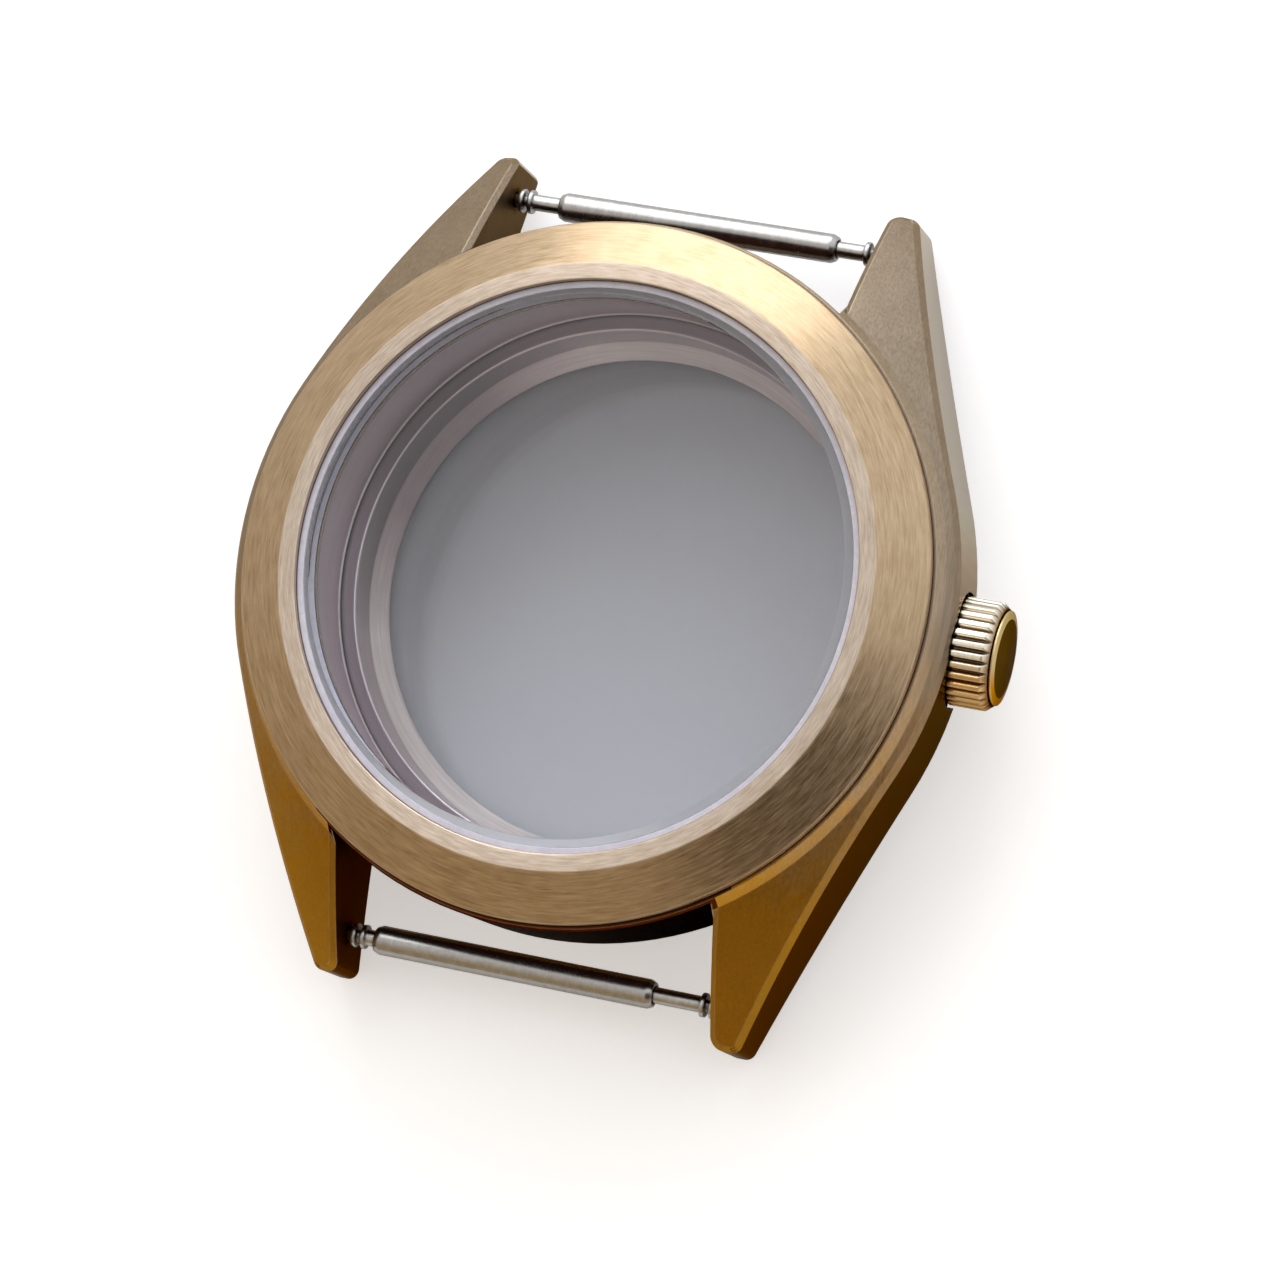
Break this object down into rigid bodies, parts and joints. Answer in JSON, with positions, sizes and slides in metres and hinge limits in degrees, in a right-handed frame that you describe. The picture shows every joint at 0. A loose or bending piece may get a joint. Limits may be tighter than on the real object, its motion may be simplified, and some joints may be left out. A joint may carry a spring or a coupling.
{
  "type": "watch case",
  "caption": "Empty round wristwatch case of bronze-coloured metal with crystal, bezel, lugs, screw-down crown, spring bars and a see-through screw-in back.",
  "frame": {"origin": "on the case axis at the outer face of the case back", "axes": "+X towards the crown, +Y towards 12 o'clock, +Z towards the crystal"},
  "size_m": [0.0398, 0.0432, 0.012],
  "materials": {
    "case_metal": "brushed",
    "bezel_metal": "brushed in circles",
    "back_metal": "turned",
    "crown_metal": "polished",
    "tube_metal": "turned",
    "crystal_glass": "polished",
    "back_glass": "polished",
    "crystal_gasket_nylon": "satin",
    "back_glass_gasket_nylon": "satin",
    "seal_rubber": "matte",
    "post_steel": "turned",
    "barrel_steel": "satin",
    "pin_steel": "turned",
    "spring_steel": "drawn"
  },
  "bodies": {
    "case": {"mid_case": "case_metal", "bezel": "bezel_metal", "crystal": "crystal_glass", "crystal_gasket": "crystal_gasket_nylon", "crown_tube": "tube_metal", "crown_tube_ring": "seal_rubber"},
    "case_back": {"case_back_ring": "back_metal", "case_back_glass": "back_glass", "case_back_glass_gasket": "back_glass_gasket_nylon", "case_back_gasket": "seal_rubber"},
    "crown_post": {"crown_post": "post_steel"},
    "crown": {"crown": "crown_metal", "crown_gasket": "seal_rubber", "crown_bush": "tube_metal", "crown_spring": "spring_steel"},
    "upper_barrel": {"upper_bar_barrel": "barrel_steel", "upper_bar_spring": "spring_steel"},
    "upper_left_pin": {"upper_bar_left_pin": "pin_steel"},
    "upper_right_pin": {"upper_bar_right_pin": "pin_steel"},
    "lower_barrel": {"lower_bar_barrel": "barrel_steel", "lower_bar_spring": "spring_steel"},
    "lower_left_pin": {"lower_bar_left_pin": "pin_steel"},
    "lower_right_pin": {"lower_bar_right_pin": "pin_steel"}
  },
  "joints": [
    {"name": "case_back_lift", "type": "slide", "parent": "case", "child": "case_back", "axis": [0, 0, -1], "range_m": [0, 0.012]},
    {"name": "crown_turn", "type": "hinge", "parent": "case", "child": "crown_post", "pos_m": [0.0156, 0, 0.0058], "axis": [1, 0, 0], "range_deg": [0, 1080]},
    {"name": "crown_travel", "type": "slide", "parent": "crown_post", "child": "crown", "axis": [1, 0, 0], "range_m": [0, 0.00105], "deforming": ["crown_spring"]},
    {"name": "upper_barrel_spin", "type": "hinge", "parent": "case", "child": "upper_barrel", "pos_m": [0, 0.0195, 0.0038], "axis": [1, 0, 0], "continuous": true},
    {"name": "upper_left_pin_press", "type": "slide", "parent": "upper_barrel", "child": "upper_left_pin", "axis": [1, 0, 0], "range_m": [0, 0.0014], "stiffness_N_per_m": 400, "springref_m": -0.0025, "deforming": ["upper_bar_spring"]},
    {"name": "upper_right_pin_press", "type": "slide", "parent": "upper_barrel", "child": "upper_right_pin", "axis": [-1, 0, 0], "range_m": [0, 0.0014], "stiffness_N_per_m": 400, "springref_m": -0.0025, "deforming": ["upper_bar_spring"]},
    {"name": "lower_barrel_spin", "type": "hinge", "parent": "case", "child": "lower_barrel", "pos_m": [0, -0.0195, 0.0038], "axis": [1, 0, 0], "continuous": true},
    {"name": "lower_left_pin_press", "type": "slide", "parent": "lower_barrel", "child": "lower_left_pin", "axis": [1, 0, 0], "range_m": [0, 0.00045], "stiffness_N_per_m": 400, "springref_m": -0.0025, "deforming": ["lower_bar_spring"]},
    {"name": "lower_right_pin_press", "type": "slide", "parent": "lower_barrel", "child": "lower_right_pin", "axis": [-1, 0, 0], "range_m": [0, 0.0014], "stiffness_N_per_m": 400, "springref_m": -0.0025, "deforming": ["lower_bar_spring"]}
  ],
  "couplings": [
    {"joint": "crown_turn", "follows": "crown_travel", "rad_per_m": 17952}
  ]
}
